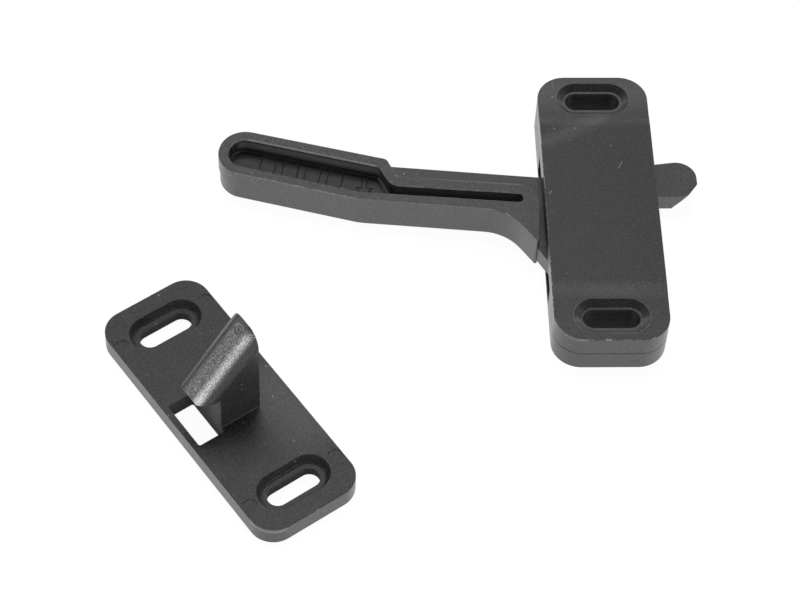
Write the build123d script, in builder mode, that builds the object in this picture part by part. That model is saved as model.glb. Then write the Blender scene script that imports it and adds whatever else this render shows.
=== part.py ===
from build123d import *
import math
import os

os.makedirs("parts", exist_ok=True)

# Origin: middle of the housing's back face
# X runs towards the tongue, Y along the housing, Z out of the door

# Housing shell
housing_width = 25.8
housing_length = 75.8
housing_corner = 6.6
pad_height = 10.7
panel_height = 11.1
panel_half_length = 23.1
ramp_length = 2.6
crease_radius = 15.0
seam_height = 5.45
seam_chamfer = 0.12
top_round = 0.15
base_foot_round = 0.3
shell_wall = 1.6
cut_overrun = 0.4
floor_height = 1.1
ceiling_height = 9.4

# Screw slots of the housing, lying across it
slot_spacing = 62.6
slot_length = 12.8
slot_width = 4.95
recess_width = 9.25
recess_depth = 1.2
recess_inset = 1.6
recess_foot_round = 0.5
slot_boss_wall = 1.5

# Side slots that the lever passes through
lever_slot_low = -21.2
lever_slot_high = 17.4
tongue_slot_low = 5.1
tongue_slot_high = 19.6
side_slot_top = 6.4

# Pivot post and the posts that carry the cover
pivot_y = -18.0
pivot_radius = 3.5
pivot_top = 9.3
pivot_chamfer = 0.4
thrust_radius = 5.4
thrust_top = 1.4
post_radius = 1.1
post_top = 9.35
collar_radius = 2.0
collar_bottom = 8.95
collar_clearance = 0.05
near_posts = [(-9.0, -24.4), (9.0, -24.4)]
far_posts = [(-8.4, 23.4), (8.4, 23.4)]

# Corners of the lever's handle and neck, seen from above, before their rounding
tail_far = (-85.55, 24.0)
grip_far = (-48.7, 14.45)
neck_far = (-46.3, 9.25)
shoulder = (-13.5, 6.65)
spur_tip = (-14.75, -10.0)
elbow = (-21.3, -0.6)
grip_near = (-55.1, 2.6)
tail_near = (-88.85, 11.8)
tail_round = 6.2
grip_far_round = 1.3
neck_far_round = 1.8
shoulder_round = 5.5
elbow_round = 11.0
spur_round = 0.4
grip_near_round = 14.0

# Corners of the finger pocket and the groove that it runs into
pocket_tail_far = (-83.85, 20.95)
pocket_far = (-50.5, 12.05)
groove_far = (-47.8, 6.7)
groove_end_far = (-17.55, 4.25)
groove_end_near = (-17.75, 1.9)
pocket_near = (-55.3, 5.0)
pocket_tail_near = (-86.0, 13.45)
pocket_tail_round = 3.8
pocket_far_round = 1.5
groove_far_round = 3.2
groove_end_round = 1.15
pocket_near_round = 12.0

# Corners of the plate that passes through the housing
ledge_start = (-50.4, 13.1)
ledge_far = (-48.45, 14.7)
waist_far = (-9.0, 10.95)
tongue_root_far = (6.0, 14.15)
tongue_far = (23.25, 16.4)
tongue_near = (23.25, 5.65)
tongue_root_near = (10.7, 5.65)
flank = (10.7, -7.8)
hub_side = (8.3, -18.0)
heel = (-7.1, -22.1)
plate_spur = (-14.95, -9.1)
plate_elbow = (-21.9, 0.7)
ledge_near = (-46.0, 3.2)
tongue_round_far = 4.6
tongue_round_near = 4.2
tongue_root_round = 1.0
waist_round = 12.0
bevel_point = (20.6, 5.7, 6.0)
bevel_normal = (1.0, -0.726, -0.744)

# Parting step at the handle's tail, where the mould's lower half stood a little to the right
parting_height = 4.9
parting_shift = 0.3
parting_end = -84.0

# Lever levels
handle_bottom = 0.3
handle_top = 9.2
plate_bottom = 1.7
plate_top = 6.1
pocket_depth = 4.0
pocket_foot_round = 0.5
pocket_rim_round = 0.35
lever_round = 0.15
web_thickness = 1.6
foot_round = 0.35
hub_radius = 8.3
pivot_clearance = 0.05
coil_well_radius = 6.4
coil_well_bottom = 3.9

# Return spring
wire_diameter = 0.9
coil_radius = 4.7
coil_pitch = 1.02
coil_turns = 2.25
coil_bottom = 5.15
lever_leg_length = 12.0
housing_leg_length = 9.4

# Strike plate, with its own origin and turn on the same floor
strike_x = -84.55
strike_y = -49.5
strike_turn = 34.4
strike_width = 25.8
strike_length = 67.2
strike_thickness = 4.6
strike_corner = 5.65
strike_slot_spacing = 49.9
strike_slot_length = 13.0
strike_slot_width = 4.85
strike_recess_width = 9.2
strike_recess_depth = 2.1
strike_recess_inset = 0.8
strike_recess_foot_round = 0.7
strike_round = 0.12
ejector_offset = 0.3
ejector_spacing_x = 22.1
ejector_spacing_y = 50.1
ejector_radius = 1.7
ejector_depth = 0.15
window_left = -11.45
window_right = -5.05
window_near = -6.0
window_far = 6.4
window_corner = 0.5

# Hook of the strike plate
hook_tip = -9.85
hook_back = 5.0
hook_near = -4.85
hook_far = 4.65
hook_top = 30.45
ramp_angle = 45.5
catch_height = 15.0
near_round = 3.4
far_round = 3.0
tip_round_far = 1.7
tip_round_near = 2.2
ramp_run = 40.0
section_margin = 0.02


def round_corner(outline, corner, radius):
    """Rounds the corner of an outline that stands at the given point."""
    corners = outline.vertices()
    nearest = corners.sort_by_distance(Vector(*corner, corners[0].Z))[0]
    fillet(nearest, radius=radius)


def recess_cutter(rim_width, floor_width, depth, inset, foot_round, run):
    """A cutter for a slot's recess: a sloping wall that runs in a round foot into a level ledge at the slot."""
    foot = (rim_width / 2 - inset, -depth)
    with BuildPart() as cutter:
        with BuildSketch(Plane.YZ) as half_section:
            with BuildLine():
                Polyline(
                    (floor_width / 2, -depth),
                    (0, -depth),
                    (0, depth),
                    (rim_width / 2, depth),
                    (rim_width / 2, 0),
                    foot,
                    close=True,
                )
            make_face()
            round_corner(half_section, foot, foot_round)
        extrude(amount=run / 2, both=True)
        mirror(about=Plane.XZ)
        for end in (-run / 2, run / 2):
            with BuildSketch(Plane.YZ.offset(end)):
                add(half_section.sketch_local)
            revolve(axis=Axis((end, 0, 0), (0, 0, 1)))
    return cutter.part


def at_pocket_floor(face):
    """Whether a face lies at the level of the finger pocket's floor."""
    return abs(face.center().Z - (handle_top - pocket_depth)) < 0.01


housing_recess = recess_cutter(
    recess_width,
    slot_width,
    recess_depth,
    recess_inset,
    recess_foot_round,
    slot_length - slot_width,
)
strike_recess = recess_cutter(
    strike_recess_width,
    strike_slot_width,
    strike_recess_depth,
    strike_recess_inset,
    strike_recess_foot_round,
    strike_slot_length - strike_slot_width,
)

# Cover of the housing
with BuildPart() as housing_cover:
    with BuildSketch(Plane.YZ) as cover_profile:
        with BuildLine():
            Polyline(
                (-housing_length / 2, seam_height),
                (housing_length / 2, seam_height),
                (housing_length / 2, pad_height),
                (panel_half_length + ramp_length, pad_height),
                (panel_half_length, panel_height),
                (-panel_half_length, panel_height),
                (-panel_half_length - ramp_length, pad_height),
                (-housing_length / 2, pad_height),
                close=True,
            )
        make_face()
        creases = cover_profile.vertices().filter_by(lambda v: abs(v.X) < housing_length / 2 - 1)
        fillet(creases, radius=crease_radius)
    extrude(amount=housing_width / 2, both=True)
    with BuildSketch(Plane.XY.offset(seam_height)):
        RectangleRounded(housing_width, housing_length, housing_corner)
    extrude(amount=panel_height, mode=Mode.INTERSECT)
    top_rim = housing_cover.edges().filter_by(lambda e: e.bounding_box().min.Z > pad_height - 0.01)
    rim_edges = top_rim.filter_by(lambda e: e.bounding_box().size.Y > 0.01 or abs(e.center().Y) > 30)
    fillet(rim_edges, radius=top_round)
    foot_edges = housing_cover.faces().sort_by(Axis.Z)[0].edges()
    chamfer(foot_edges, length=seam_chamfer)
    with BuildSketch(Plane.XY.offset(seam_height)):
        RectangleRounded(
            housing_width - 2 * shell_wall,
            housing_length - 2 * shell_wall,
            housing_corner - shell_wall,
        )
    extrude(amount=ceiling_height - seam_height, mode=Mode.SUBTRACT)
    # Slot bosses down to the seam
    with BuildSketch(Plane.XY.offset(seam_height)):
        with GridLocations(0, slot_spacing, 1, 2):
            SlotOverall(slot_length + 2 * slot_boss_wall, slot_width + 2 * slot_boss_wall)
    extrude(amount=ceiling_height - seam_height)
    # Collars over the housing posts
    with BuildSketch(Plane.XY.offset(collar_bottom)):
        with Locations(*near_posts, *far_posts):
            Circle(collar_radius)
            Circle(post_radius + collar_clearance, mode=Mode.SUBTRACT)
    extrude(amount=ceiling_height - collar_bottom)
    # Screw slots with their sloped recesses
    with BuildSketch(Plane.XY.offset(seam_height)):
        with GridLocations(0, slot_spacing, 1, 2):
            SlotOverall(slot_length, slot_width)
    extrude(amount=panel_height, mode=Mode.SUBTRACT)
    with Locations((0, -slot_spacing / 2, pad_height), (0, slot_spacing / 2, pad_height)):
        add(housing_recess, mode=Mode.SUBTRACT)
    # Side slots, the cover's share
    with BuildSketch(Plane.XY.offset(seam_height)):
        with Locations((-housing_width / 2, (lever_slot_low + lever_slot_high) / 2)):
            Rectangle(2 * shell_wall + cut_overrun, lever_slot_high - lever_slot_low)
        with Locations((housing_width / 2, (tongue_slot_low + tongue_slot_high) / 2)):
            Rectangle(2 * shell_wall + cut_overrun, tongue_slot_high - tongue_slot_low)
    extrude(amount=side_slot_top - seam_height, mode=Mode.SUBTRACT)

# Base of the housing
with BuildPart() as housing_base:
    with BuildSketch(Plane.XY):
        RectangleRounded(housing_width, housing_length, housing_corner)
    extrude(amount=seam_height)
    chamfer(housing_base.faces().sort_by(Axis.Z)[-1].edges(), length=seam_chamfer)
    fillet(housing_base.faces().sort_by(Axis.Z)[0].edges(), radius=base_foot_round)
    with BuildSketch(Plane.XY.offset(floor_height)):
        RectangleRounded(
            housing_width - 2 * shell_wall,
            housing_length - 2 * shell_wall,
            housing_corner - shell_wall,
        )
    extrude(amount=seam_height, mode=Mode.SUBTRACT)
    # Slot bosses and the slots through them
    with BuildSketch(Plane.XY.offset(floor_height)):
        with GridLocations(0, slot_spacing, 1, 2):
            SlotOverall(slot_length + 2 * slot_boss_wall, slot_width + 2 * slot_boss_wall)
    extrude(amount=seam_height - floor_height)
    with BuildSketch(Plane.XY):
        with GridLocations(0, slot_spacing, 1, 2):
            SlotOverall(slot_length, slot_width)
    extrude(amount=seam_height, mode=Mode.SUBTRACT)
    # Side slots, the base's share
    with BuildSketch(Plane.XY.offset(floor_height)):
        with Locations((-housing_width / 2, (lever_slot_low + lever_slot_high) / 2)):
            Rectangle(2 * shell_wall + cut_overrun, lever_slot_high - lever_slot_low)
        with Locations((housing_width / 2, (tongue_slot_low + tongue_slot_high) / 2)):
            Rectangle(2 * shell_wall + cut_overrun, tongue_slot_high - tongue_slot_low)
    extrude(amount=seam_height, mode=Mode.SUBTRACT)
    # Pivot post with its thrust ring
    with BuildSketch(Plane.XY.offset(floor_height)):
        with Locations((0, pivot_y)):
            Circle(thrust_radius)
    extrude(amount=thrust_top - floor_height)
    with BuildSketch(Plane.XY.offset(floor_height)):
        with Locations((0, pivot_y)):
            Circle(pivot_radius)
    extrude(amount=pivot_top - floor_height)
    pivot_rim = housing_base.faces().sort_by(Axis.Z)[-1].edges()
    chamfer(pivot_rim, length=pivot_chamfer)
    # Posts that carry the cover
    with BuildSketch(Plane.XY.offset(floor_height)):
        with Locations(*near_posts, *far_posts):
            Circle(post_radius)
    extrude(amount=post_top - floor_height)

# Lever: handle, neck, plate, hub and tongue in one moulding
with BuildPart() as latch_lever:
    with BuildSketch(Plane.XY.offset(handle_bottom)) as handle_outline:
        with BuildLine():
            Polyline(
                tail_far,
                grip_far,
                neck_far,
                shoulder,
                spur_tip,
                elbow,
                grip_near,
                tail_near,
                close=True,
            )
        make_face()
        round_corner(handle_outline, tail_far, tail_round)
        round_corner(handle_outline, tail_near, tail_round)
        round_corner(handle_outline, grip_far, grip_far_round)
        round_corner(handle_outline, neck_far, neck_far_round)
        round_corner(handle_outline, shoulder, shoulder_round)
        round_corner(handle_outline, elbow, elbow_round)
        round_corner(handle_outline, spur_tip, spur_round)
        round_corner(handle_outline, grip_near, grip_near_round)
    extrude(amount=handle_top - handle_bottom)
    fillet(latch_lever.faces().sort_by(Axis.Z)[-1].edges(), radius=lever_round)
    fillet(latch_lever.faces().sort_by(Axis.Z)[0].edges(), radius=foot_round)
    with BuildSketch(Plane.XY.offset(handle_bottom)):
        with Locations((parting_end, tail_far[1])):
            Rectangle(10, 30, align=(Align.MAX, Align.CENTER))
        add(handle_outline.sketch.moved(Location((parting_shift, 0, 0))), mode=Mode.SUBTRACT)
    extrude(amount=parting_height - handle_bottom, mode=Mode.SUBTRACT)
    # Plate that passes through the housing, with the tongue at its end
    with BuildSketch(Plane.XY.offset(plate_bottom)) as plate_outline:
        with BuildLine():
            Polyline(
                ledge_start,
                ledge_far,
                waist_far,
                tongue_root_far,
                tongue_far,
                tongue_near,
                tongue_root_near,
                flank,
                hub_side,
                (0, pivot_y),
                heel,
                plate_spur,
                plate_elbow,
                ledge_near,
                close=True,
            )
        make_face()
        with Locations((0, pivot_y)):
            Circle(hub_radius)
        round_corner(plate_outline, tongue_far, tongue_round_far)
        round_corner(plate_outline, tongue_near, tongue_round_near)
        round_corner(plate_outline, tongue_root_near, tongue_root_round)
        round_corner(plate_outline, waist_far, waist_round)
        round_corner(plate_outline, tongue_root_far, waist_round)
    extrude(amount=plate_top - plate_bottom)
    # Finger pocket running on into the neck as a groove
    with BuildSketch(Plane.XY.offset(handle_top)) as pocket_outline:
        with BuildLine():
            Polyline(
                pocket_tail_far,
                pocket_far,
                groove_far,
                groove_end_far,
                groove_end_near,
                pocket_near,
                pocket_tail_near,
                close=True,
            )
        make_face()
        round_corner(pocket_outline, pocket_tail_far, pocket_tail_round)
        round_corner(pocket_outline, pocket_tail_near, pocket_tail_round)
        round_corner(pocket_outline, pocket_far, pocket_far_round)
        round_corner(pocket_outline, groove_far, groove_far_round)
        round_corner(pocket_outline, groove_end_far, groove_end_round)
        round_corner(pocket_outline, groove_end_near, groove_end_round)
        round_corner(pocket_outline, pocket_near, pocket_near_round)
    extrude(amount=-pocket_depth, mode=Mode.SUBTRACT)
    rim = latch_lever.faces().filter_by(Plane.XY).sort_by(Axis.Z)[-1]
    fillet(rim.inner_wires()[0].edges(), radius=pocket_rim_round)
    pocket_floor = latch_lever.faces().filter_by(Plane.XY).filter_by(at_pocket_floor)[0]
    fillet(pocket_floor.edges(), radius=pocket_foot_round)
    # Coring of the underside, leaving the web
    with BuildSketch(Plane.XY.offset(handle_bottom)):
        add(pocket_outline.sketch.moved(Location((0, 0, handle_bottom - handle_top))))
    extrude(amount=handle_top - pocket_depth - web_thickness - handle_bottom, mode=Mode.SUBTRACT)
    # Bore, coil well and the groove for the spring's leg
    with BuildSketch(Plane.XY.offset(plate_bottom)):
        with Locations((0, pivot_y)):
            Circle(pivot_radius + pivot_clearance)
    extrude(amount=plate_top - plate_bottom, mode=Mode.SUBTRACT)
    with BuildSketch(Plane.XY.offset(coil_well_bottom)):
        with Locations((0, pivot_y)):
            Circle(coil_well_radius)
        with Locations((coil_radius, pivot_y + lever_leg_length / 2 + 0.4)):
            Rectangle(wire_diameter + 0.6, lever_leg_length + 0.8)
    extrude(amount=plate_top - coil_well_bottom, mode=Mode.SUBTRACT)
    # Bevel under the tongue that rides on the hook
    bevel_plane = Plane(origin=bevel_point, x_dir=(0.587, 0.81, 0), z_dir=bevel_normal)
    with BuildSketch(bevel_plane):
        with Locations((3.5, 0)):
            Rectangle(19.0, 14.0)
    extrude(amount=12.0, mode=Mode.SUBTRACT)

# Return spring round the pivot post
with BuildPart() as return_spring:
    with BuildLine() as wire_path:
        coil = Helix(
            pitch=coil_pitch,
            height=coil_pitch * coil_turns,
            radius=coil_radius,
            center=(0, pivot_y, coil_bottom),
            lefthand=True,
        )
        Line(coil @ 0, (coil @ 0) - (coil % 0) * lever_leg_length)
        Line(coil @ 1, (coil @ 1) + (coil % 1) * housing_leg_length)
    leg_end = (coil @ 0) - (coil % 0) * lever_leg_length
    with BuildSketch(Plane(origin=leg_end, z_dir=coil % 0)):
        Circle(wire_diameter / 2)
    sweep(path=wire_path.line, is_frenet=True)

# Strike plate with its hook, in one moulding
strike_frame = Plane(
    origin=(strike_x, strike_y, 0),
    x_dir=(math.cos(math.radians(strike_turn)), math.sin(math.radians(strike_turn)), 0),
    z_dir=(0, 0, 1),
)
with BuildPart() as strike_plate:
    with BuildSketch(strike_frame.offset(strike_thickness)):
        with Locations(((hook_tip + hook_back) / 2, (hook_near + hook_far) / 2)):
            Rectangle(hook_back - hook_tip, hook_far - hook_near)
    extrude(amount=hook_top + 5)
    tip_edges = strike_plate.edges().filter_by(Axis.Z)
    tip_edges = tip_edges.sort_by(lambda e: strike_frame.to_local_coords(e.center()).X)[:2]
    tip_edges = tip_edges.sort_by(lambda e: strike_frame.to_local_coords(e.center()).Y)
    fillet(tip_edges[0], radius=tip_round_near)
    tip_edges = strike_plate.edges().filter_by(Axis.Z)
    tip_edges = tip_edges.sort_by(lambda e: strike_frame.to_local_coords(e.center()).Y)[-2:]
    tip_edges = tip_edges.sort_by(lambda e: strike_frame.to_local_coords(e.center()).X)
    fillet(tip_edges[0], radius=tip_round_far)
    # Half-round ramp: its section stands square to the slope
    slope_x = math.cos(math.radians(ramp_angle))
    slope_z = math.sin(math.radians(ramp_angle))
    ramp_start = Vector(hook_back - ramp_run * slope_x, 0, hook_top - ramp_run * slope_z)
    ramp_plane = Plane(
        origin=strike_frame.from_local_coords(ramp_start),
        x_dir=strike_frame.y_dir,
        z_dir=strike_frame.x_dir * slope_x + strike_frame.z_dir * slope_z,
    )
    with BuildSketch(ramp_plane) as ramp_section:
        with BuildLine():
            Polyline(
                (hook_near - section_margin, -ramp_run),
                (hook_far + section_margin, -ramp_run),
                (hook_far + section_margin, 0),
                (hook_near - section_margin, 0),
                close=True,
            )
        make_face()
        near_corner = ramp_section.vertices().filter_by(lambda v: v.Y > -1 and v.X < 0)
        fillet(near_corner, radius=near_round)
        far_corner = ramp_section.vertices().filter_by(lambda v: v.Y > -1 and v.X > hook_far - 0.1)
        fillet(far_corner, radius=far_round)
    extrude(amount=2 * ramp_run, mode=Mode.INTERSECT)
    # Free space under the catch
    with BuildSketch(strike_frame.offset(strike_thickness)):
        with Locations(((hook_tip + window_right) / 2 - 1, 0)):
            Rectangle(window_right - hook_tip + 2, 20)
    extrude(amount=catch_height - strike_thickness, mode=Mode.SUBTRACT)
    # Plate below the hook
    with BuildSketch(strike_frame):
        RectangleRounded(strike_width, strike_length, strike_corner)
    extrude(amount=strike_thickness)
    flat_faces = strike_plate.faces().filter_by(Plane.XY)
    plate_top_face = flat_faces.filter_by(lambda f: abs(f.center().Z - strike_thickness) < 0.01)[0]
    fillet(plate_top_face.outer_wire().edges(), radius=strike_round)
    # Shallow round marks that the mould's ejector pins left near the corners
    with BuildSketch(strike_frame.offset(strike_thickness)):
        with Locations((0, ejector_offset)):
            with GridLocations(ejector_spacing_x, ejector_spacing_y, 2, 2):
                Circle(ejector_radius)
    extrude(amount=-ejector_depth, mode=Mode.SUBTRACT)
    with BuildSketch(strike_frame):
        with GridLocations(0, strike_slot_spacing, 1, 2):
            SlotOverall(strike_slot_length, strike_slot_width)
    extrude(amount=strike_thickness, mode=Mode.SUBTRACT)
    with Locations(strike_frame.offset(strike_thickness).location):
        with Locations((0, -strike_slot_spacing / 2, 0), (0, strike_slot_spacing / 2, 0)):
            add(strike_recess, mode=Mode.SUBTRACT)
    with BuildSketch(strike_frame):
        with Locations(((window_left + window_right) / 2, (window_near + window_far) / 2)):
            RectangleRounded(window_right - window_left, window_far - window_near, window_corner)
    extrude(amount=strike_thickness, mode=Mode.SUBTRACT)

housing_cover.part.label = "housing_cover"
housing_base.part.label = "housing_base"
latch_lever.part.label = "latch_lever"
return_spring.part.label = "return_spring"
strike_plate.part.label = "strike_plate"
export_step(housing_cover.part, "parts/housing_cover.step")
export_step(housing_base.part, "parts/housing_base.step")
export_step(latch_lever.part, "parts/latch_lever.step")
export_step(return_spring.part, "parts/return_spring.step")
export_step(strike_plate.part, "parts/strike_plate.step")
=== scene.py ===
"""A screen door latch and its strike plate: finishes, moulded marks, studio and camera.

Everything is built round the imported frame. Its origin is the middle of the housing's back face, X points
towards the tongue, Y runs along the housing and Z points out of the door. Blender's lengths are metres. The
sizes and places of finishes, marks and footprints are in millimetres, and MM turns them into metres.
"""

import logging
import math
from dataclasses import dataclass, field
from enum import Enum
from functools import reduce
from typing import NamedTuple

import bpy
import numpy as np
from mathutils import Matrix, Vector


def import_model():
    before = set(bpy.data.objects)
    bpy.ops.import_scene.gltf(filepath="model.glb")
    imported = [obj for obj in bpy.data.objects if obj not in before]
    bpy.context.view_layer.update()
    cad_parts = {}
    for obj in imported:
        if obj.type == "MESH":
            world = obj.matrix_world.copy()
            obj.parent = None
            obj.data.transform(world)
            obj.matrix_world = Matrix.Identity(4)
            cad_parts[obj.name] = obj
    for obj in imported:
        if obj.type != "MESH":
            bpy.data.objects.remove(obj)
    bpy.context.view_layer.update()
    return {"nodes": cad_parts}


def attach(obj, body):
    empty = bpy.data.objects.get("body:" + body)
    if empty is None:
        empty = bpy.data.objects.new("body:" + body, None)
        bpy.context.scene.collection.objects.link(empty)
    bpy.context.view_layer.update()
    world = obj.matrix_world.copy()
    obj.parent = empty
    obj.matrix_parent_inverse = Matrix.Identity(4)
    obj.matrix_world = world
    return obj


LOG = logging.getLogger("latch")
MM = 0.001
Pair = tuple[float, float]
Point = tuple[float, float, float]
Socket = bpy.types.NodeSocket

# Levels of the CAD model's flat tops
PANEL = 11.1
PAD = 10.7
HANDLE = 9.2
PLATE = 4.6

# Outlines and places of the CAD model, where finishes and marks follow them
HOUSING_SIZE = (25.8, 75.8)
HOUSING_CORNER = 6.6
SLOT_SPACING = 62.6
SLOT_LENGTH = 12.8
SLOT_WIDTH = 4.95
RECESS_WIDTH = 9.25
STRIKE_PLACE = (-84.55, -49.5, 0.0)
STRIKE_SIZE = (25.8, 67.2)
STRIKE_CORNER = 5.65
STRIKE_TURN = 34.4
RAMP_SLOPE = 45.5


def metres(point: Point) -> Point:
    """Turns a point in millimetres into metres."""
    return tuple(value * MM for value in point)


# Shader graphs


class Graph:
    """Writes a node tree in few words: values and links go in through the same call."""

    def __init__(self, tree: bpy.types.NodeTree) -> None:
        """Starts on an empty tree, of a material or of a node group."""
        self.tree = tree
        tree.nodes.clear()

    def node(self, kind: str, inputs: dict | None = None, **settings: object) -> bpy.types.Node:
        """Adds one node.

        Args:
            kind: the node's type without the word ShaderNode.
            inputs: socket name or index to a value or to the socket that feeds it.
            settings: the node's own settings.

        Returns:
            The new node.
        """
        made = self.tree.nodes.new(kind if kind.startswith("Node") else "ShaderNode" + kind)
        for name, value in settings.items():
            setattr(made, name, value)
        for key, value in (inputs or {}).items():
            if isinstance(value, Socket):
                self.tree.links.new(value, made.inputs[key])
            else:
                made.inputs[key].default_value = value
        return made

    def shared(self, group: bpy.types.NodeTree, inputs: dict) -> bpy.types.bpy_prop_collection:
        """Puts a shared group here with this tree's own values, and returns its outputs."""
        return self.node("Group", inputs, node_tree=group).outputs

    def maths(self, operation: str, *values: object, clamp: bool = False) -> Socket:
        """Adds a Math node and returns its result."""
        made = self.node("Math", dict(enumerate(values)), operation=operation, use_clamp=clamp)
        return made.outputs[0]

    def vector(self, operation: str, *values: object, out: str = "Vector") -> Socket:
        """Adds a Vector Math node and returns its result."""
        made = self.node("VectorMath", dict(enumerate(values)), operation=operation)
        return made.outputs[out]

    def noise(self, place: Socket, scale: object, detail: float = 2.0, roughness: float = 0.5) -> Socket:
        """Adds a noise about a half and returns its value."""
        inputs = {"Vector": place, "Scale": scale, "Detail": detail, "Roughness": roughness}
        return self.node("TexNoise", inputs).outputs[0]

    def span(self, value: Socket, low: object, high: object, start: float = 0.0, end: float = 1.0) -> Socket:
        """Maps value from low..high to start..end with soft ends, and returns the result."""
        inputs = {"Value": value, "From Min": low, "From Max": high, "To Min": start, "To Max": end}
        return self.node("MapRange", inputs, interpolation_type="SMOOTHSTEP").outputs["Result"]

    def product(self, *values: Socket) -> Socket:
        """Multiplies any number of values and returns the result."""
        return reduce(lambda so_far, value: self.maths("MULTIPLY", so_far, value), values)

    def lifted(self, base: object, mask: Socket, lift: object) -> Socket:
        """Adds lift times mask to the base and returns the sum."""
        return self.maths("MULTIPLY_ADD", mask, lift, base)

    def blend(self, share: object, first: object, second: object) -> Socket:
        """Mixes two numbers by share and returns the result."""
        return self.node("Mix", {0: share, 2: first, 3: second}, data_type="FLOAT").outputs[0]

    def grey(self, tone: Socket) -> Socket:
        """Makes a grey colour of one tone and returns it."""
        return self.node("CombineColor", {0: tone, 1: tone, 2: tone}).outputs[0]


class SharedGroup(Graph):
    """The tree of an effect that more than one finish uses, with named inputs and named masks or values."""

    def __init__(self, name: str, inputs: dict[str, object], outputs: tuple[str, ...]) -> None:
        """Makes the group and its sockets.

        Args:
            name: the group's name.
            inputs: socket name to its default, a number or a triple.
            outputs: the names of the values that it puts out.
        """
        super().__init__(bpy.data.node_groups.new(name, "ShaderNodeTree"))
        sockets = self.tree.interface
        for label, default in inputs.items():
            kind = "NodeSocketVector" if isinstance(default, tuple) else "NodeSocketFloat"
            sockets.new_socket(name=label, in_out="INPUT", socket_type=kind).default_value = default
        for label in outputs:
            sockets.new_socket(name=label, in_out="OUTPUT", socket_type="NodeSocketFloat")
        self.given = self.node("NodeGroupInput").outputs
        self.results = self.node("NodeGroupOutput").inputs

    def finish(self, **values: Socket) -> bpy.types.NodeTree:
        """Feeds the group's outputs and returns its tree."""
        for label, value in values.items():
            self.tree.links.new(value, self.results[label])
        return self.tree


def build_grain_group() -> bpy.types.NodeTree:
    """The moulded grain: fine noise and beads of the same size, over a slow and soft mottle.

    Returns:
        The node group. Height is the grain's relief, Tone is its fine noise alone and Mottle the slow noise.
        All three lie about nought.
    """
    bead_share, middle_distance = 0.35, 0.45
    group = SharedGroup(
        "moulded_grain",
        {"Position": (0.0, 0.0, 0.0), "Grain": 0.35 * MM, "Mottle": 6.0 * MM},
        ("Height", "Tone", "Mottle"),
    )
    place = group.given["Position"]
    grain_scale = group.maths("DIVIDE", 1.0, group.given["Grain"])
    mottle_scale = group.maths("DIVIDE", 1.0, group.given["Mottle"])
    pits = group.noise(place, grain_scale, detail=3.0, roughness=0.65)
    cells = group.node("TexVoronoi", {"Vector": place, "Scale": grain_scale})
    cloud = group.noise(place, mottle_scale, detail=3.0, roughness=0.55)
    fine = group.maths("SUBTRACT", pits, 0.5)
    bead = group.maths("SUBTRACT", cells.outputs["Distance"], middle_distance)
    height = group.maths("ADD", fine, group.maths("MULTIPLY", bead, bead_share))
    return group.finish(Height=height, Tone=fine, Mottle=group.maths("SUBTRACT", cloud, 0.5))


def build_dust_group() -> bpy.types.NodeTree:
    """Specks of dust and light nicks: the near points of a few cells out of many, of unlike sizes.

    Returns:
        The node group, with a Mask output. Size is a speck's radius as a share of Spacing.
    """
    smallest, largest, core_share = 0.5, 1.4, 0.4
    group = SharedGroup(
        "dust_specks",
        {"Position": (0.0, 0.0, 0.0), "Spacing": 1.6 * MM, "Size": 0.09, "Share": 0.1},
        ("Mask",),
    )
    scale = group.maths("DIVIDE", 1.0, group.given["Spacing"])
    cells = group.node("TexVoronoi", {"Vector": group.given["Position"], "Scale": scale})
    tint = group.node("SeparateColor", {"Color": cells.outputs["Color"]})
    chosen = group.maths("LESS_THAN", tint.outputs[0], group.given["Share"])
    unlike = group.span(tint.outputs[1], 0.0, 1.0, smallest, largest)
    reach = group.maths("MULTIPLY", group.given["Size"], unlike)
    core = group.maths("MULTIPLY", reach, core_share)
    speck = group.span(cells.outputs["Distance"], core, reach, 1.0, 0.0)
    return group.finish(Mask=group.maths("MULTIPLY", speck, chosen))


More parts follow.
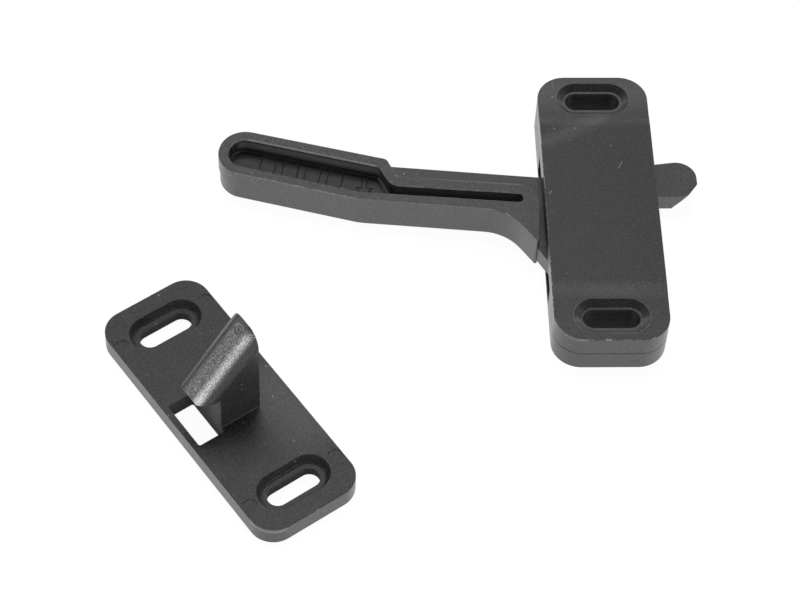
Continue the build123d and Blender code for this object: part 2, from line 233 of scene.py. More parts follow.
def build_mark_group() -> bpy.types.NodeTree:
    """A mark at the distance Reach from the straight line between Start and End.

    The nearest point of the line is Start plus the clamped share t of its run, where t is the dot product of
    the offset and the run over the run's own square. The mark is one where the distance to that point is
    within half of Width of Reach. Where Side isn't nought, only the part whose way from the line has a dot
    product with Side above Spread is kept. Break mixes in a noise that leaves only pieces of the mark.

    Returns:
        The node group, with a Mask output.
    """
    side_softness = 0.2
    piece_size, pieces_from, pieces_to = 0.7 * MM, 0.44, 0.62
    group = SharedGroup(
        "surface_mark",
        {
            "Position": (0.0, 0.0, 0.0),
            "Start": (0.0, 0.0, 0.0),
            "End": (1.0, 0.0, 0.0),
            "Width": 0.2 * MM,
            "Reach": 0.0,
            "Side": (0.0, 0.0, 0.0),
            "Spread": -1.0,
            "Core": 0.3,
            "Break": 0.0,
        },
        ("Mask",),
    )
    given = group.given
    run = group.vector("SUBTRACT", given["End"], given["Start"])
    offset = group.vector("SUBTRACT", given["Position"], given["Start"])
    along = group.vector("DOT_PRODUCT", offset, run, out="Value")
    square = group.vector("DOT_PRODUCT", run, run, out="Value")
    share = group.maths("DIVIDE", along, square, clamp=True)
    nearest = group.node("VectorMath", {0: run, "Scale": share}, operation="SCALE").outputs["Vector"]
    away = group.vector("SUBTRACT", offset, nearest)
    gap = group.maths("SUBTRACT", group.vector("LENGTH", away, out="Value"), given["Reach"])
    half = group.maths("MULTIPLY", given["Width"], 0.5)
    core = group.maths("MULTIPLY", half, given["Core"])
    band = group.span(group.maths("ABSOLUTE", gap), core, half, 1.0, 0.0)
    facing = group.vector("DOT_PRODUCT", group.vector("NORMALIZE", away), given["Side"], out="Value")
    limit = group.maths("ADD", given["Spread"], side_softness)
    kept = group.span(facing, given["Spread"], limit)
    broken = group.span(group.noise(given["Position"], 1.0 / piece_size), pieces_from, pieces_to)
    pieces = group.blend(given["Break"], 1.0, broken)
    return group.finish(Mask=group.product(band, kept, pieces))


def build_rim_highlight_group() -> bpy.types.NodeTree:
    """Painted highlight on a top edge's rounding: where the surface just below Level faces neither up nor
    level.

    Returns:
        The node group, with a Mask output that a noise makes uneven.
    """
    off_wall, off_top = (0.05, 0.3), (0.85, 0.99)
    patch_size, patch_span, least_highlight = 1.3 * MM, (0.35, 0.6), 0.45
    group = SharedGroup(
        "painted_rim_highlight",
        {"Position": (0.0, 0.0, 0.0), "Normal": (0.0, 0.0, 1.0), "Level": 9.2 * MM, "Depth": 0.4 * MM},
        ("Mask",),
    )
    given = group.given
    height = group.node("SeparateXYZ", {0: given["Position"]}).outputs[2]
    upward = group.node("SeparateXYZ", {0: given["Normal"]}).outputs[2]
    near = group.maths("GREATER_THAN", height, group.maths("SUBTRACT", given["Level"], given["Depth"]))
    # Painted highlight where a top edge's rounding meets the light, made uneven by noise
    turned = group.product(group.span(upward, *off_wall), group.span(upward, *off_top, 1.0, 0.0))
    patches = group.span(group.noise(given["Position"], 1.0 / patch_size), *patch_span, least_highlight, 1.0)
    return group.finish(Mask=group.product(near, turned, patches))


def build_glint_group() -> bpy.types.NodeTree:
    """Fine bright glints: the peaks of a noise, sharpened, and the noise itself as a height.

    Returns:
        The node group, with Mask and Height outputs.
    """
    peaks_from, peaks_to = 0.42, 0.68
    group = SharedGroup("glints", {"Position": (0.0, 0.0, 0.0), "Size": 0.25 * MM}, ("Mask", "Height"))
    noise = group.noise(group.given["Position"], group.maths("DIVIDE", 1.0, group.given["Size"]))
    return group.finish(Mask=group.span(noise, peaks_from, peaks_to), Height=noise)


@dataclass
class Effects:
    """The shared node groups, built once."""

    grain: bpy.types.NodeTree = field(default_factory=build_grain_group)
    dust: bpy.types.NodeTree = field(default_factory=build_dust_group)
    mark: bpy.types.NodeTree = field(default_factory=build_mark_group)
    rim: bpy.types.NodeTree = field(default_factory=build_rim_highlight_group)
    glint: bpy.types.NodeTree = field(default_factory=build_glint_group)


def new_material(name: str) -> tuple[bpy.types.Material, Graph]:
    """Makes a material and returns it with its empty graph."""
    material = bpy.data.materials.new(name)
    material.use_nodes = True
    return material, Graph(material.node_tree)


# Finishes


class Edge(Enum):
    """How a mark ends: the share of its half width at full strength, and how far noise breaks it up."""

    CRISP = (0.3, 0.0)
    SOFT = (0.0, 0.0)
    BROKEN = (0.3, 1.0)


@dataclass(frozen=True)
class Mark:
    """A scratch, a scuff, a soft patch, or a painted highlight, sheen or light, in the row's frame, and the
    tone that it adds.

    It follows the line from start to end, or lies at reach from that line on the side that side points to.
    Spread says how far round it goes, where 1 is that side alone and -1 is all round.
    """

    start: Point
    end: Point
    width: float = 0.2
    lift: float = 0.1
    reach: float = 0.0
    side: Point = (0.0, 0.0, 0.0)
    spread: float = -1.0
    edge: Edge = Edge.CRISP

    def inputs(self, place: Socket) -> dict[str, object]:
        """The values for the shared mark group.

        Args:
            place: the object position socket.

        Returns:
            Socket name to value.
        """
        core, broken = self.edge.value
        return {
            "Position": place,
            "Start": metres(self.start),
            "End": metres(self.end),
            "Width": self.width * MM,
            "Reach": self.reach * MM,
            "Side": self.side,
            "Spread": self.spread,
            "Core": core,
            "Break": broken,
        }


@dataclass(frozen=True)
class Surface:
    """What a finish reads from the mesh: place, normal and height, and masks of level and upright faces."""

    place: Socket
    normal: Socket
    height: Socket
    flat: Socket
    wall: Socket

    @classmethod
    def read(cls, graph: Graph) -> "Surface":
        """Reads the surface, with flat one on level faces and wall one on upright faces.

        Args:
            graph: the material's graph.

        Returns:
            The surface's sockets.
        """
        flat_span, wall_span = (0.9, 0.97), (0.1, 0.8)
        coordinates = graph.node("TexCoord").outputs
        place, normal = coordinates["Object"], coordinates["Normal"]
        height = graph.node("SeparateXYZ", {0: place}).outputs[2]
        upward = graph.maths("ABSOLUTE", graph.node("SeparateXYZ", {0: normal}).outputs[2])
        flat = graph.span(upward, *flat_span)
        wall = graph.span(upward, *wall_span, 1.0, 0.0)
        return cls(place, normal, height, flat, wall)


class Looks(NamedTuple):
    """The sockets that a finish works out over the surface."""

    tone: Socket
    roughness: Socket
    normal: Socket


@dataclass(frozen=True)
class MouldedPlastic:
    """Charcoal moulded plastic: fine grain, soft mottle, dust specks, its own marks, and painted light and
    shade.

    Tones and lifts are shares of white, and gloss is the index of refraction.
    """

    name: str
    tone: float = 0.023
    darkest: float = 0.003
    roughness: float = 0.36
    roughness_swing: float = 0.12
    gloss: float = 1.59
    grain: float = 0.36
    grain_depth: float = 0.04
    grain_contrast: float = 7.0
    mottle: float = 6.0
    mottle_contrast: float = 0.35
    # Painted light added to upright faces
    painted_wall_light: float = 0.02
    # Painted shade on level faces below pocket_level
    pocket_level: float = 0.0
    pocket_shade_lift: float = 0.0
    speck_size: float = 0.13
    speck_share: float = 0.12
    speck_lift: float = 0.3
    # Painted highlight on rounded top edges just below rim_level
    rim_level: float = HANDLE
    rim_highlight_lift: float = 0.0
    marks: tuple[Mark, ...] = ()

    def build(self, effects: Effects) -> bpy.types.Material:
        """Makes the material.

        Args:
            effects: the shared node groups.

        Returns:
            The material.
        """
        material, graph = new_material(self.name)
        looks = self.looks(graph, effects, Surface.read(graph))
        shader = graph.node(
            "BsdfPrincipled",
            {
                "Base Color": graph.grey(looks.tone),
                "Roughness": looks.roughness,
                "Normal": looks.normal,
                "IOR": self.gloss,
            },
        )
        graph.node("OutputMaterial", {"Surface": shader.outputs[0]})
        return material

    def looks(self, graph: Graph, effects: Effects, surface: Surface) -> Looks:
        """Works out the tone, the roughness and the normal over the surface.

        Args:
            graph: the material's graph.
            effects: the shared node groups.
            surface: what the finish reads from the mesh.

        Returns:
            The sockets for tone, roughness and normal.
        """
        place = surface.place
        grain = graph.shared(
            effects.grain, {"Position": place, "Grain": self.grain * MM, "Mottle": self.mottle * MM}
        )
        dust = graph.shared(
            effects.dust, {"Position": place, "Size": self.speck_size, "Share": self.speck_share}
        )
        rim = graph.shared(
            effects.rim, {"Position": place, "Normal": surface.normal, "Level": self.rim_level * MM}
        )
        below = graph.maths("LESS_THAN", surface.height, self.pocket_level * MM)
        layers = [
            (grain["Tone"], self.tone * self.grain_contrast),
            # Painted light: upright faces are made lighter
            (surface.wall, self.painted_wall_light),
            # Painted shade: level faces below the pocket's level are made darker
            (graph.product(surface.flat, below), self.pocket_shade_lift),
            (grain["Mottle"], self.tone * self.mottle_contrast),
            (dust["Mask"], self.speck_lift),
            # Painted highlight on rounded top edges
            (rim["Mask"], self.rim_highlight_lift),
        ]
        # Marks: real scratches, nicks and patches, and painted highlights, sheen and light
        for mark in self.marks:
            mask = graph.shared(effects.mark, mark.inputs(place))["Mask"]
            if mark.edge is Edge.SOFT:
                mask = graph.product(mask, surface.flat)
            layers.append((mask, mark.lift))
        tone = self.tone
        for mask, lift in layers:
            tone = graph.lifted(tone, mask, lift)
        tone = graph.maths("MAXIMUM", tone, self.darkest)
        roughness = graph.lifted(self.roughness, grain["Mottle"], self.roughness_swing)
        relief = {"Height": grain["Height"], "Distance": self.grain_depth * MM, "Strength": 1.0}
        return Looks(tone, roughness, graph.node("Bump", relief).outputs[0])


@dataclass(frozen=True)
class StrikePlastic(MouldedPlastic):
    """The strike's plastic, whose ramp has painted highlights: fine glints and a sheen, a bright ridge and a
    bright tip.

    Places across the ramp are measured from the strike plate's middle, along its length.
    """

    ramp_faces: Pair = (0.6, 0.92)
    ramp_low: float = 14.8
    ramp_start: float = 0.3
    ramp_roughness: float = 0.24
    ramp_depth: float = 0.12
    glint_size: float = 0.22
    # Painted highlights on the ramp: glints, a sheen over the glint field, a bright ridge and a bright tip
    glint_lift: float = 0.5
    field_sheen_lift: float = 0.07
    field_near: Pair = (-4.4, -2.4)
    field_far: Pair = (1.1, 2.3)
    field_top: Pair = (28.3, 30.3)
    ridge_at: float = -2.7
    ridge_half: float = 1.6
    ridge_glint_lift: float = 0.95
    ridge_highlight_lift: float = 0.38
    tip_heights: Pair = (15.5, 18.5)
    tip_highlight_lift: float = 0.5
    ring: tuple[Mark, ...] = ()

    @property
    def across(self) -> Point:
        """The way across the ramp, along the strike plate's length."""
        turn = math.radians(STRIKE_TURN)
        return (-math.sin(turn), math.cos(turn), 0.0)

    @property
    def ramp_normal(self) -> Point:
        """The way that the ramp faces."""
        turn, slope = math.radians(STRIKE_TURN), math.radians(RAMP_SLOPE)
        return (-math.cos(turn) * math.sin(slope), -math.sin(turn) * math.sin(slope), math.cos(slope))

    def looks(self, graph: Graph, effects: Effects, surface: Surface) -> Looks:
        """Adds painted highlights to the ramp where the surface faces the ramp's way above the plate.

        Args:
            graph: the material's graph.
            effects: the shared node groups.
            surface: what the finish reads from the mesh.

        Returns:
            The sockets for tone, roughness and normal.
        """
        plain = super().looks(graph, effects, surface)
        place, height = surface.place, surface.height
        facing = graph.vector("DOT_PRODUCT", surface.normal, self.ramp_normal, out="Value")
        offset = graph.vector("SUBTRACT", place, metres(STRIKE_PLACE))
        across = graph.vector("DOT_PRODUCT", offset, self.across, out="Value")
        above = graph.span(height, self.ramp_low * MM, (self.ramp_low + self.ramp_start) * MM)
        ramp = graph.product(graph.span(facing, *self.ramp_faces), above)
        below_top = self.falling(graph, height, self.field_top)
        spared = ramp
        for mark in self.ring:
            mask = graph.shared(effects.mark, mark.inputs(place))["Mask"]
            spared = graph.product(spared, graph.maths("SUBTRACT", 1.0, mask))
        past_near = graph.span(across, self.field_near[0] * MM, self.field_near[1] * MM)
        before_far = self.falling(graph, across, self.field_far)
        glint_field = graph.product(spared, below_top, past_near, before_far)
        from_ridge = graph.maths("ABSOLUTE", graph.maths("SUBTRACT", across, self.ridge_at * MM))
        ridge = graph.product(ramp, below_top, self.falling(graph, from_ridge, (0.0, self.ridge_half)))
        tip = graph.product(ridge, self.falling(graph, height, self.tip_heights))
        glint = graph.shared(effects.glint, {"Position": place, "Size": self.glint_size * MM})
        # Painted highlights: glints, a bright ridge, a sheen over the field and a bright tip
        sparkle = graph.maths("MULTIPLY", glint_field, self.glint_lift)
        sparkle = graph.lifted(sparkle, ridge, self.ridge_glint_lift)
        tone = graph.lifted(plain.tone, glint["Mask"], sparkle)
        tone = graph.lifted(tone, ridge, self.ridge_highlight_lift)
        tone = graph.lifted(tone, glint_field, self.field_sheen_lift)
        tone = graph.lifted(tone, tip, self.tip_highlight_lift)
        roughness = graph.blend(ramp, plain.roughness, self.ramp_roughness)
        depth = graph.maths("MULTIPLY", glint_field, self.ramp_depth * MM)
        relief = {"Height": glint["Height"], "Distance": depth, "Normal": plain.normal}
        return Looks(tone, roughness, graph.node("Bump", relief).outputs[0])

    @staticmethod
    def falling(graph: Graph, value: Socket, span: Pair) -> Socket:
        """One below a span in millimetres and nought above it."""
        return graph.span(value, span[0] * MM, span[1] * MM, 1.0, 0.0)


@dataclass(frozen=True)
class SpringWire:
    """Drawn steel wire with a fine grain and a soft mottle."""

    name: str
    tone: float = 0.4
    tone_swing: float = 0.2
    roughness: float = 0.3
    roughness_swing: float = 0.2
    grain: float = 0.12
    grain_depth: float = 0.004
    mottle: float = 2.0

    def build(self, effects: Effects) -> bpy.types.Material:
        """Makes the material.

        Args:
            effects: the shared node groups.

        Returns:
            The material.
        """
        material, graph = new_material(self.name)
        place = graph.node("TexCoord").outputs["Object"]
        grain = graph.shared(
            effects.grain, {"Position": place, "Grain": self.grain * MM, "Mottle": self.mottle * MM}
        )
        relief = {"Height": grain["Height"], "Distance": self.grain_depth * MM, "Strength": 1.0}
        shader = graph.node(
            "BsdfPrincipled",
            {
                "Base Color": graph.grey(graph.lifted(self.tone, grain["Mottle"], self.tone_swing)),
                "Roughness": graph.lifted(self.roughness, grain["Tone"], self.roughness_swing),
                "Normal": graph.node("Bump", relief).outputs[0],
                "Metallic": 1.0,
            },
        )
        graph.node("OutputMaterial", {"Surface": shader.outputs[0]})
        return material


def dress(node: bpy.types.Object, material: bpy.types.Material) -> None:
    """Gives every material slot of a CAD node that material.

    Args:
        node: the CAD node.
        material: its finish.
    """
    for slot in node.material_slots:
        slot.material = material
    LOG.info("dressed %s with %s", node.name, material.name)


# Marks of wear, as the object shows them


def curved_mark(
    centre: Point, radius: float, side: Point, spread: float, width: float, lift: float
) -> Mark:
    """A mark along a circle.

    Args:
        centre: the circle's centre.
        radius: its radius.
        side: the way from the centre to the mark's middle.
        spread: how far round it goes, where 1 is the middle alone and -1 is all round.
        width: the mark's width.
        lift: the tone that it adds.

    Returns:
        The mark.
    """
    return Mark(centre, centre, width, lift, radius, side, spread)


def slot_mark(
    at: float, level: float, reach: float, width: float, lift: float, spread: float, edge: Edge = Edge.CRISP
) -> Mark:
    """A line round one of the cover's screw slots, or round a part of it about the near side.

    Args:
        at: the slot's middle on Y.
        level: the line's height.
        reach: how far the line lies from the line between the centres of the slot's round ends.
        width: the line's width.
        lift: the tone that it adds.
        spread: how far round the slot it goes, where 1 is the near side alone and -1 is all round.
        edge: how it ends.

    Returns:
        The mark.
    """
    half_run = (SLOT_LENGTH - SLOT_WIDTH) / 2
    return Mark(
        (-half_run, at, level), (half_run, at, level), width, lift, reach, (0.0, -1.0, 0.0), spread, edge
    )


def recess_painted_light(at: float, rim_highlight_lift: float, painted_wall_light: float) -> tuple[Mark, Mark]:
    """Painted highlight on a slot recess's rim all round, and painted light on the near side of its sloping
    wall.

    Args:
        at: the slot's middle on Y.
        rim_highlight_lift: the tone that the rim adds.
        painted_wall_light: the tone that the wall adds.

    Returns:
        The two marks.
    """
    all_round, near_half = -1.0, -0.1
    rim_reach, rim_width = RECESS_WIDTH / 2 + 0.015, 0.22
    wall_level, wall_reach, wall_width = 9.8, 3.6, 2.4
    # Painted highlight on the rim, and painted light on the near wall
    return (
        slot_mark(at, PAD, rim_reach, rim_width, rim_highlight_lift, all_round),
        slot_mark(at, wall_level, wall_reach, wall_width, painted_wall_light, near_half),
    )


COVER_MARKS = (
    # Short scratches on the panel, two bright and one faint
    Mark((5.46, 12.07, PANEL), (4.5, 10.15, PANEL), 0.2, 0.35),
    Mark((-11.29, 3.43, PANEL), (-11.86, 2.65, PANEL), 0.22, 0.4),
    Mark((-12.09, -1.89, PANEL), (-11.13, -3.36, PANEL), 0.16, 0.1),
    # A thin bent scratch on the far pad
    Mark((-9.16, 36.85, PAD), (-9.16, 35.27, PAD), 0.16, 0.12),
    Mark((-9.16, 35.27, PAD), (-8.88, 34.47, PAD), 0.16, 0.12),
    # Painted sheen: a slanting band at the panel's far end, the far pad, the near ramp and the near pad
    Mark((-11.5, 18.2, PANEL), (1.31, 25.1, PANEL), 6.5, 0.045, edge=Edge.SOFT),
    Mark((-12.0, 33.5, PAD), (12.0, 33.5, PAD), 22.0, 0.07, edge=Edge.SOFT),
    Mark((-5.0, -24.5, PANEL), (9.0, -24.5, PANEL), 5.0, 0.012, edge=Edge.SOFT),
    Mark((-8.0, -34.0, PAD), (12.0, -34.0, PAD), 20.0, 0.014, edge=Edge.SOFT),
    # Painted highlight along the long edge on the handle's side, in broken pieces
    Mark((-12.84, -23.0, PANEL), (-12.84, 21.5, PANEL), 0.4, 0.28, edge=Edge.BROKEN),
    Mark((-12.84, -31.0, PAD), (-12.84, -26.0, PAD), 0.4, 0.28, edge=Edge.BROKEN),
    # A curved scratch beside the near recess
    curved_mark((-6.3, -31.3, PAD), 6.5, (-0.6, -0.8, 0.0), 0.6, 0.3, 0.25),
    # Painted highlight along the near edge in broken pieces, and two nicks
    Mark((-8.5, -37.8, PAD), (8.5, -37.85, PAD), 0.3, 0.2, edge=Edge.BROKEN),
    Mark((-1.7, -37.8, PAD), (-0.7, -37.85, PAD), 0.6, 0.35),
    Mark((8.4, -37.6, PAD), (9.2, -37.2, PAD), 0.4, 0.25),
    # Recesses of the screw slots, with painted highlights on their rims and painted light on their near
    # walls; the near one has a further painted highlight on its near rim
    slot_mark(-SLOT_SPACING / 2, PAD, RECESS_WIDTH / 2, 0.28, 0.2, 0.1, Edge.BROKEN),
    *recess_painted_light(-SLOT_SPACING / 2, 0.12, 0.09),
    *recess_painted_light(SLOT_SPACING / 2, 0.09, 0.07),
)
LEVER_MARKS = (
    # A dark nick and a pale patch on the handle's end
    Mark((-86.13, 18.63, HANDLE), (-84.97, 17.89, HANDLE), 0.22, -0.03),
    Mark((-86.96, 10.65, HANDLE), (-83.95, 9.85, HANDLE), 0.4, 0.12, edge=Edge.SOFT),
    # A bent bright nick on the neck's near side
    Mark((-30.3, -0.1, 5.0), (-29.6, -0.2, 6.0), 0.25, 0.3),
    Mark((-29.6, -0.2, 6.0), (-28.8, -0.2, 5.2), 0.25, 0.3),
    # Painted highlights along the far rims of the pocket and of the neck
    Mark((-80.5, 20.27, 9.1), (-51.2, 12.45, 9.1), 0.6, 0.16),
    Mark((-46.9, 9.5, HANDLE), (-37.6, 8.5, HANDLE), 0.45, 0.12),
    Mark((-37.6, 8.5, HANDLE), (-17.9, 6.8, HANDLE), 0.45, 0.12),
    # Painted highlight along the near rim, from the handle's end to the spur
    Mark((-88.0, 11.8, HANDLE), (-85.0, 10.7, HANDLE), 0.6, 0.22),
    Mark((-85.0, 10.7, HANDLE), (-56.0, 2.85, HANDLE), 0.6, 0.18, edge=Edge.BROKEN),
    Mark((-85.0, 10.7, HANDLE), (-56.0, 2.85, HANDLE), 0.5, 0.1),
    Mark((-55.1, 2.7, HANDLE), (-25.4, -0.25, HANDLE), 0.5, 0.07),
    Mark((-21.7, -1.4, HANDLE), (-16.1, -8.8, HANDLE), 0.6, 0.15),
    # Painted light on the far walls of the neck's groove and of the pocket
    Mark((-46.0, 7.2, 7.0), (-19.5, 4.6, 7.0), 3.6, 0.12),
    Mark((-82.0, 20.3, 7.4), (-51.0, 12.1, 7.4), 3.2, 0.13),
)
RING_PLACE = (-81.93, -47.47, 28.73)
STRIKE_MARKS = (
    # A paler soft patch on the plate behind the hook
    Mark((-75.0, -45.0, PLATE), (-68.0, -55.0, PLATE), 22.0, 0.06, edge=Edge.SOFT),
    # A curved scratch beside the near slot
    curved_mark((-74.74, -76.66, PLATE), 5.6, (-0.25, -0.97, 0.0), 0.6, 0.35, 0.2),
    # The pale foot of the hook's post, and painted light on the post's open side
    Mark((-85.98, -56.35, PLATE), (-77.68, -50.68, PLATE), 0.3, 0.16),
    Mark((-86.03, -53.54, 5.0), (-86.03, -53.54, 14.0), 8.0, 0.07, side=(-0.825, -0.565, 0.0), spread=0.4),
    # The lit side of the ring that the mould left on the ramp's top
    curved_mark(RING_PLACE, 1.2, (0.3, 0.5, 0.8), 0.0, 0.3, 0.3),
)
# The ring's shaded side and its middle, which have no glints
RAMP_RING = (
    curved_mark(RING_PLACE, 0.95, (-0.3, -0.5, -0.8), -0.3, 0.6, 0.0),
    Mark(RING_PLACE, RING_PLACE, 0.9),
)


# Moulded marks on the pocket's floor


def rounded_path(corners: np.ndarray, radius: float, steps: int) -> np.ndarray:
    """A closed outline with rounded corners.

    Each corner is replaced by a quadratic curve from the point at radius before it to the point at radius
    after it: (1 - t) squared times the first, plus 2 t (1 - t) times the corner, plus t squared times the
    second.

    Args:
        corners: the outline's corners, n by 2.
        radius: how far from a corner its curve starts.
        steps: points in each curve.

    Returns:
        The outline's points, m by 2.
    """
    before = np.roll(corners, 1, axis=0) - corners
    after = np.roll(corners, -1, axis=0) - corners
    first = corners + before / np.linalg.norm(before, axis=1, keepdims=True) * radius
    second = corners + after / np.linalg.norm(after, axis=1, keepdims=True) * radius
    t = np.linspace(0.0, 1.0, steps)[None, :, None]
    curve = (1 - t) ** 2 * first[:, None] + 2 * t * (1 - t) * corners[:, None] + t**2 * second[:, None]
    return curve.reshape(-1, 2)


def ridge_along(
    path: np.ndarray, width: float, height: float, base: float, steps: int = 9
) -> tuple[np.ndarray, np.ndarray]:
    """A half-round ridge carried along a closed path on a level floor.

    At angle a from 0 to 180 degrees the ridge's point lies half a width times cos a to the path's left, and
    height times sin a above the base.

    Args:
        path: the closed path's points, m by 2.
        width: the ridge's full width.
        height: the ridge's height.
        base: the floor's level.
        steps: points across the ridge.

    Returns:
        The vertices and the faces, closed below by a strip between the two feet.
    """
    ahead = np.roll(path, -1, axis=0) - np.roll(path, 1, axis=0)
    ahead /= np.linalg.norm(ahead, axis=1, keepdims=True)
    left = np.stack([-ahead[:, 1], ahead[:, 0]], axis=1)
    angle = np.linspace(0.0, math.pi, steps)
    flat = path[:, None] + left[:, None] * (np.cos(angle) * width / 2)[None, :, None]
    rise = np.broadcast_to(base + height * np.sin(angle), flat.shape[:2])
    points = np.concatenate([flat, rise[:, :, None]], axis=2).reshape(-1, 3)
    rows, columns = np.meshgrid(np.arange(len(path)), np.arange(steps), indexing="ij")
    here = rows * steps + columns
    across = rows * steps + (columns + 1) % steps
    following = (rows + 1) % len(path)
    beyond = following * steps + columns
    corner = following * steps + (columns + 1) % steps
    faces = np.stack([here, beyond, corner, across], axis=2).reshape(-1, 4)
    return points, faces


def mesh_object(
    name: str, points: np.ndarray, faces: np.ndarray, material: bpy.types.Material
) -> bpy.types.Object:
    """Makes a smooth-shaded mesh object at the origin from whole arrays.

    Args:
        name: the object's name.
        points: vertices, n by 3, in metres.
        faces: four vertex numbers a face.
        material: the mesh's material.

    Returns:
        The linked object.
    """
    mesh = bpy.data.meshes.new(name)
    mesh.from_pydata(points, [], faces)
    mesh.polygons.foreach_set("use_smooth", np.ones(len(mesh.polygons), bool))
    mesh.materials.append(material)
    mesh.update()
    made = bpy.data.objects.new(name, mesh)
    bpy.context.scene.collection.objects.link(made)
    return made


@dataclass
class PocketMarks:
    """Raised outlines on the floor of the lever's finger pocket: a row of plain frames, and an arrow.

    The arrow stands beside the row and says which way to pull.
    """

    floor: float = 5.2
    sink: float = 0.03
    width: float = 0.34
    height: float = 0.2
    turn: float = -12.0
    first: Pair = (-76.1, 15.4)
    pitch: float = 5.3
    count: int = 4
    frame_size: Pair = (3.5, 5.2)
    frame_round: float = 0.9
    arrow_at: Pair = (-53.9, 9.5)
    arrow_turn: float = -4.0
    arrow_round: float = 0.18
    arrow_tip: float = -2.9
    arrow_neck: float = -0.4
    arrow_end: float = 2.3
    head_half: float = 1.9
    shaft_half: float = 0.55
    curve_steps: int = 6

    def frame_corners(self) -> list[Pair]:
        """A frame's corners about its own middle, anticlockwise."""
        x, y = self.frame_size[0] / 2, self.frame_size[1] / 2
        return [(-x, -y), (x, -y), (x, y), (-x, y)]

    def arrow_corners(self) -> list[Pair]:
        """The arrow's outline about its own place.

        Returns:
            The corners, anticlockwise from the tip.
        """
        right = [(self.head_half, self.arrow_neck), (self.shaft_half, self.arrow_neck)]
        right.append((self.shaft_half, self.arrow_end))
        left = [(-x, y) for x, y in reversed(right)]
        return [(0.0, self.arrow_tip), *right, *left]

    def outline(
        self, corners: list[Pair], centre: Pair, turn: float, radius: float
    ) -> tuple[np.ndarray, np.ndarray]:
        """One raised outline.

        Args:
            corners: the outline's corners about its own centre, anticlockwise.
            centre: where the centre goes.
            turn: degrees from X towards Y.
            radius: the corner's rounding.

        Returns:
            The ridge's points in metres and its faces.
        """
        angle = math.radians(turn)
        spin = np.array([[math.cos(angle), math.sin(angle)], [-math.sin(angle), math.cos(angle)]])
        path = rounded_path(np.array(corners, float) @ spin + np.array(centre), radius, self.curve_steps)
        points, faces = ridge_along(path, self.width, self.height + self.sink, self.floor - self.sink)
        return points * MM, faces

    def build(self, material: bpy.types.Material) -> list[bpy.types.Object]:
        """Makes the frames and the arrow and puts them on the lever.

        Args:
            material: the lever's finish.

        Returns:
            The pieces.
        """
        along = math.radians(self.turn)
        points, faces, total = [], [], 0
        for number in range(self.count):
            run = self.pitch * number
            centre = (self.first[0] + run * math.cos(along), self.first[1] + run * math.sin(along))
            ridge, ridge_faces = self.outline(self.frame_corners(), centre, self.turn, self.frame_round)
            points.append(ridge)
            faces.append(ridge_faces + total)
            total += len(ridge)
        frames = mesh_object("pocket_frames", np.concatenate(points), np.concatenate(faces), material)
        ridge, ridge_faces = self.outline(
            self.arrow_corners(), self.arrow_at, self.arrow_turn, self.arrow_round
        )
        arrow = mesh_object("pocket_arrow", ridge, ridge_faces, material)
        pieces = [frames, arrow]
        for piece in pieces:
            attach(piece, "lever")
            LOG.info("built %s", piece.name)
        return pieces


# Studio and camera


@dataclass
class SoftPanel:
    """A rectangular soft light on a sphere about the set, facing its middle, in metres.

    The azimuth runs in degrees from the front towards the tongue's side, and the elevation runs up from the
    table.
    """

    name: str
    azimuth: float
    elevation: float
    radiance: float
    size: Pair = (0.7, 0.36)
    distance: float = 1.4
    aim: Point = (-0.03, 0.0, 0.0)

    def build(self) -> bpy.types.Object:
        """Makes the light, whose power is its radiance times pi times its area.

        Returns:
            The light.
        """
        lamp = bpy.data.lights.new(self.name, "AREA")
        lamp.shape = "RECTANGLE"
        lamp.size, lamp.size_y = self.size
        lamp.energy = self.radiance * math.pi * self.size[0] * self.size[1]
        around, above = math.radians(self.azimuth), math.radians(self.elevation)
        level = math.cos(above)
        way = Vector((math.sin(around) * level, -math.cos(around) * level, math.sin(above)))
        made = bpy.data.objects.new(self.name, lamp)
        made.location = Vector(self.aim) + way * self.distance
        made.rotation_euler = way.to_track_quat("Z", "Y").to_euler()
        bpy.context.scene.collection.objects.link(made)
        LOG.info("lit %s", self.name)
        return made


@dataclass(frozen=True)
class Footprint:
    """A rounded rectangle of the table under a piece, a little smaller than the piece, and its turn."""

    centre: Point
    size: Pair
    corner: float
    turn: float = 0.0
    inset: float = 0.15

    def outside(self, graph: Graph, place: Socket) -> Socket:
        """One where the place is farther than the corner's radius from the rectangle of corner centres.

        Args:
            graph: the table's graph.
            place: the object position socket.

        Returns:
            The mask.
        """
        offset = graph.vector("SUBTRACT", place, metres(self.centre))
        turned = graph.node(
            "VectorRotate", {"Vector": offset, "Angle": -math.radians(self.turn)}, rotation_type="Z_AXIS"
        )
        reach = [(side / 2 - self.inset - self.corner) * MM for side in self.size]
        any_height = 1.0
        beyond = graph.vector("SUBTRACT", graph.vector("ABSOLUTE", turned.outputs[0]), (*reach, any_height))
        gap = graph.vector("LENGTH", graph.vector("MAXIMUM", beyond, (0.0, 0.0, 0.0)), out="Value")
        return graph.maths("GREATER_THAN", gap, self.corner * MM)


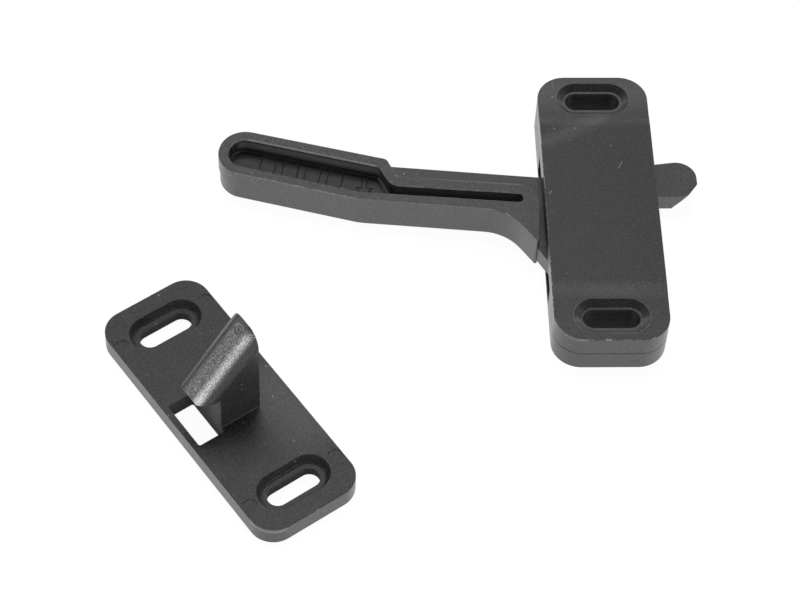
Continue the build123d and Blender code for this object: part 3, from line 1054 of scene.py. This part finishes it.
@dataclass
class Studio:
    """A plain white table in a soft white room, which shines less where the set covers it."""

    room: float = 0.1
    table_tone: float = 0.9
    table_half: float = 3.0
    table_level: float = -0.05 * MM
    glow: float = 1.15
    mirrored_glow: float = 1.5
    glow_share: float = 0.82
    covered_share: float = 0.12
    covered: tuple[Footprint, ...] = (
        Footprint((0.0, 0.0, 0.0), HOUSING_SIZE, HOUSING_CORNER),
        Footprint(STRIKE_PLACE, STRIKE_SIZE, STRIKE_CORNER, STRIKE_TURN),
    )
    panels: tuple[SoftPanel, ...] = (
        SoftPanel("front_low", 0.0, 15.0, 2.9),
        SoftPanel("front_right_low", 45.0, 15.0, 4.0),
        SoftPanel("right_low", 90.0, 15.0, 2.5),
        SoftPanel("back_right_low", 135.0, 15.0, 2.5),
        SoftPanel("left_low", 270.0, 16.0, 2.6),
        SoftPanel("front_left_low", 315.0, 15.0, 1.2),
        SoftPanel("back_left_low", 225.0, 15.0, 0.8),
        SoftPanel("back_left", 225.0, 35.0, 1.5),
        SoftPanel("back_left_high", 225.0, 55.0, 0.63),
        SoftPanel("back_middle", 180.0, 30.0, 2.6),
        SoftPanel("back_high", 180.0, 60.0, 1.6),
        SoftPanel("back_top", 180.0, 75.0, 3.45),
    )

    def build(self) -> bpy.types.Object:
        """Makes the lights, the room's plain light and the table.

        Returns:
            The table.
        """
        for panel in self.panels:
            panel.build()
        self.light_room()
        return self.lay_table()

    def light_room(self) -> None:
        """Lights the room evenly, and shows it white to the camera."""
        world = bpy.data.worlds.new("room")
        bpy.context.scene.world = world
        world.use_nodes = True
        graph = Graph(world.node_tree)
        seen = graph.node("LightPath").outputs["Is Camera Ray"]
        strength = graph.blend(seen, self.room, 1.0)
        back = graph.node("Background", {"Color": (1.0, 1.0, 1.0, 1.0), "Strength": strength})
        graph.node("OutputWorld", {"Surface": back.outputs[0]})

    def lay_table(self) -> bpy.types.Object:
        """Lays a white table, which the camera and reflections see with a glow of its own.

        Returns:
            The table.
        """
        material, graph = new_material("white_table")
        tone = self.table_tone
        paint = graph.node("BsdfDiffuse", {"Color": (tone, tone, tone, 1.0)})
        path = graph.node("LightPath").outputs
        place = graph.node("TexCoord").outputs["Object"]
        clear = graph.product(*(footprint.outside(graph, place) for footprint in self.covered))
        clear = graph.maths("MAXIMUM", clear, self.covered_share)
        mirrored = graph.maths("MULTIPLY", path["Is Glossy Ray"], clear)
        seen = graph.maths("MAXIMUM", path["Is Camera Ray"], mirrored)
        share = graph.maths("MULTIPLY", seen, self.glow_share)
        strength = graph.blend(path["Is Camera Ray"], self.mirrored_glow, self.glow)
        glow = graph.node("Emission", {"Color": (1.0, 1.0, 1.0, 1.0), "Strength": strength})
        mixed = graph.node("MixShader", {0: share, 1: paint.outputs[0], 2: glow.outputs[0]})
        graph.node("OutputMaterial", {"Surface": mixed.outputs[0]})
        half, level = self.table_half, self.table_level
        corners = [(-half, -half, level), (half, -half, level), (half, half, level), (-half, half, level)]
        table = mesh_object("table", np.array(corners), np.array([[0, 1, 2, 3]]), material)
        return table


@dataclass
class PhotographCamera:
    """The camera that took the photograph, fitted to the edges of both objects, in metres.

    Its sensor and lens are in millimetres, and its roll is in degrees.
    """

    place: Point = (-0.0716162, -0.3709148, 0.4848699)
    aim: Point = (-0.0462151, -0.0192073, 0.0)
    roll: float = 3.1502
    lens: float = 119.416
    sensor: float = 36.0
    clip: Pair = (0.01, 20.0)

    def build(self) -> bpy.types.Object:
        """Makes the camera. Its right and up vectors turn by the roll about the line of sight.

        Returns:
            The camera.
        """
        data = bpy.data.cameras.new("photograph")
        data.sensor_width = self.sensor
        data.lens = self.lens
        data.clip_start, data.clip_end = self.clip
        camera = bpy.data.objects.new("photograph", data)
        ahead = (Vector(self.aim) - Vector(self.place)).normalized()
        level = ahead.cross(Vector((0, 0, 1))).normalized()
        upright = level.cross(ahead)
        turn = math.radians(self.roll)
        right = level * math.cos(turn) + upright * math.sin(turn)
        up = upright * math.cos(turn) - level * math.sin(turn)
        basis = Matrix((right, up, -ahead)).transposed().to_4x4()
        camera.matrix_world = Matrix.Translation(Vector(self.place)) @ basis
        bpy.context.scene.collection.objects.link(camera)
        bpy.context.scene.camera = camera
        return camera


# The whole scene


@dataclass
class Latch:
    """The whole set: the housing, the lever, the spring and the strike plate, dressed for the camera."""

    nodes: dict[str, bpy.types.Object]
    effects: Effects = field(default_factory=Effects)

    def finishes(self) -> dict[str, MouldedPlastic | SpringWire]:
        """Chooses the finish of each CAD node.

        Returns:
            Node name to finish.
        """
        lever = MouldedPlastic(
            "lever_finish",
            tone=0.038,
            gloss=1.7,
            # No painted wall light here, but painted shade on the pocket's floor and painted highlights on
            # the rims
            painted_wall_light=0.0,
            pocket_level=6.0,
            pocket_shade_lift=-0.06,
            rim_highlight_lift=0.18,
            marks=LEVER_MARKS,
        )
        strike = StrikePlastic(
            "strike_finish",
            tone=0.032,
            gloss=1.51,
            # Faint painted light on upright faces
            painted_wall_light=0.01,
            speck_share=0.3,
            marks=STRIKE_MARKS,
            ring=RAMP_RING,
        )
        return {
            "housing_cover": MouldedPlastic("cover_plastic", marks=COVER_MARKS),
            "housing_base": MouldedPlastic("base_plastic"),
            "latch_lever": lever,
            "strike_plate": strike,
            "return_spring": SpringWire("spring_wire"),
        }

    def build(self) -> None:
        """Dresses every node and adds the lever's moulded marks."""
        materials = {name: finish.build(self.effects) for name, finish in self.finishes().items()}
        for name, material in materials.items():
            dress(self.nodes[name], material)
        PocketMarks().build(materials["latch_lever"])


def main() -> None:
    """Loads the frame, dresses the latch, and sets the studio and the camera."""
    logging.basicConfig(level=logging.INFO, format="%(message)s")
    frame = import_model()
    bpy.context.scene.view_settings.view_transform = "Standard"
    Latch(frame["nodes"]).build()
    Studio().build()
    PhotographCamera().build()


if __name__ == "__main__":
    main()
